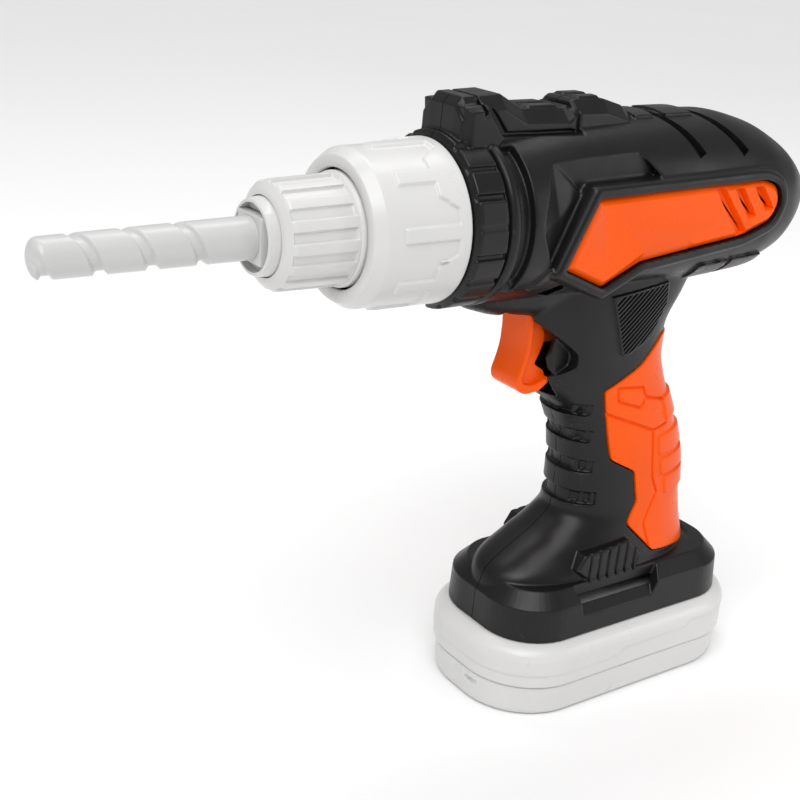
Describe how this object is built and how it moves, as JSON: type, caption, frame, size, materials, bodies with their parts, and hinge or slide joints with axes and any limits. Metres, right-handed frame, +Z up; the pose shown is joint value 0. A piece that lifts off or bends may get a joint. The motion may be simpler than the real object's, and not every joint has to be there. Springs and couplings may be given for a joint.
{
  "type": "toy power drill",
  "caption": "Battery toy power drill: pistol-grip body, spinning chuck with a pull-out spiral bit, torque collar, trigger and battery base.",
  "frame": {"origin": "the middle of the battery base's flat underside, which the drill stands on; the spindle's axis is 150 mm above it", "axes": "+X towards the back of the barrel along the spindle, so the bit points to -X; +Z up; -Y is the user's left side"},
  "size_m": [0.2435, 0.0546, 0.1828],
  "materials": {
    "black_shell": "fine satin texture",
    "orange_trim": "semi-gloss",
    "pale_grey": "semi-gloss",
    "bit_grey": "semi-gloss",
    "dark_plastic": "moulded",
    "pale_plastic": "moulded",
    "red_plastic": "wire insulation",
    "yellow_plastic": "wire insulation",
    "black_plastic": "wire insulation",
    "steel": "plated",
    "brass": "machined",
    "cell_skin": "printed film, left plain"
  },
  "bodies": {
    "housing": {"left_housing": "black_shell", "right_housing": "black_shell", "left_side_panel": "orange_trim", "right_side_panel": "orange_trim", "grip_backstrap": "orange_trim", "trigger_pin": "steel", "trigger_spring": "steel", "switch_body": "dark_plastic", "gearbox_cover": "dark_plastic", "gearbox_case": "dark_plastic", "idler_pin": "steel", "motor_can": "steel", "motor_end_cap": "pale_plastic", "spindle_bush": "brass", "battery_case": "pale_grey", "battery_cell_1": "cell_skin", "battery_cell_2": "cell_skin", "battery_cell_3": "cell_skin", "cell_spring_1": "steel", "cell_spring_2": "steel", "cell_spring_3": "steel", "contact_negative": "steel", "contact_bridge_front": "steel", "contact_bridge_rear": "steel", "contact_positive": "steel", "housing_screw_1": "steel", "housing_screw_2": "steel", "housing_screw_3": "steel", "housing_screw_4": "steel", "housing_screw_5": "steel", "wire_battery_to_switch": "red_plastic", "wire_switch_to_motor": "yellow_plastic", "wire_motor_to_battery": "black_plastic"},
    "chuck": {"spindle": "steel", "output_gear": "pale_plastic", "chuck_nose": "pale_grey", "chuck_sleeve": "pale_grey"},
    "bit": {"drill_bit": "bit_grey"},
    "idler": {"idler_gear": "pale_plastic"},
    "motor_rotor": {"motor_shaft": "steel", "motor_pinion": "pale_plastic"},
    "collar": {"torque_collar": "pale_grey"},
    "trigger": {"trigger": "orange_trim"},
    "plunger": {"switch_plunger": "pale_plastic"},
    "cover": {"battery_cover": "pale_grey", "cover_screw": "steel"}
  },
  "joints": [
    {"name": "chuck_spin", "type": "hinge", "parent": "housing", "child": "chuck", "pos_m": [0, 0, 0.15], "axis": [1, 0, 0], "continuous": true},
    {"name": "bit_pull", "type": "slide", "parent": "chuck", "child": "bit", "axis": [-1, 0, 0], "range_m": [0, 0.018]},
    {"name": "idler_spin", "type": "hinge", "parent": "housing", "child": "idler", "pos_m": [0, 0, 0.1392], "axis": [1, 0, 0], "continuous": true},
    {"name": "motor_spin", "type": "hinge", "parent": "housing", "child": "motor_rotor", "pos_m": [0, 0, 0.15], "axis": [1, 0, 0], "continuous": true},
    {"name": "collar_turn", "type": "hinge", "parent": "housing", "child": "collar", "pos_m": [-0.087, 0, 0.15], "axis": [1, 0, 0], "range_deg": [-135, 135]},
    {"name": "trigger_pull", "type": "hinge", "parent": "housing", "child": "trigger", "pos_m": [-0.0334, 0, 0.1302], "axis": [0, -1, 0], "range_deg": [0, 10], "stiffness_Nm_per_rad": 0.15, "springref_deg": -5.73},
    {"name": "plunger_travel", "type": "slide", "parent": "housing", "child": "plunger", "axis": [1, 0, 0], "range_m": [0, 0.0029]},
    {"name": "cover_slide", "type": "slide", "parent": "housing", "child": "cover", "axis": [0, 0, -1], "range_m": [0, 0.025]}
  ],
  "couplings": [
    {"joint": "idler_spin", "follows": "chuck_spin", "ratio": -2},
    {"joint": "motor_spin", "follows": "chuck_spin", "ratio": 4},
    {"joint": "plunger_travel", "follows": "trigger_pull", "m_per_rad": 0.0165}
  ]
}
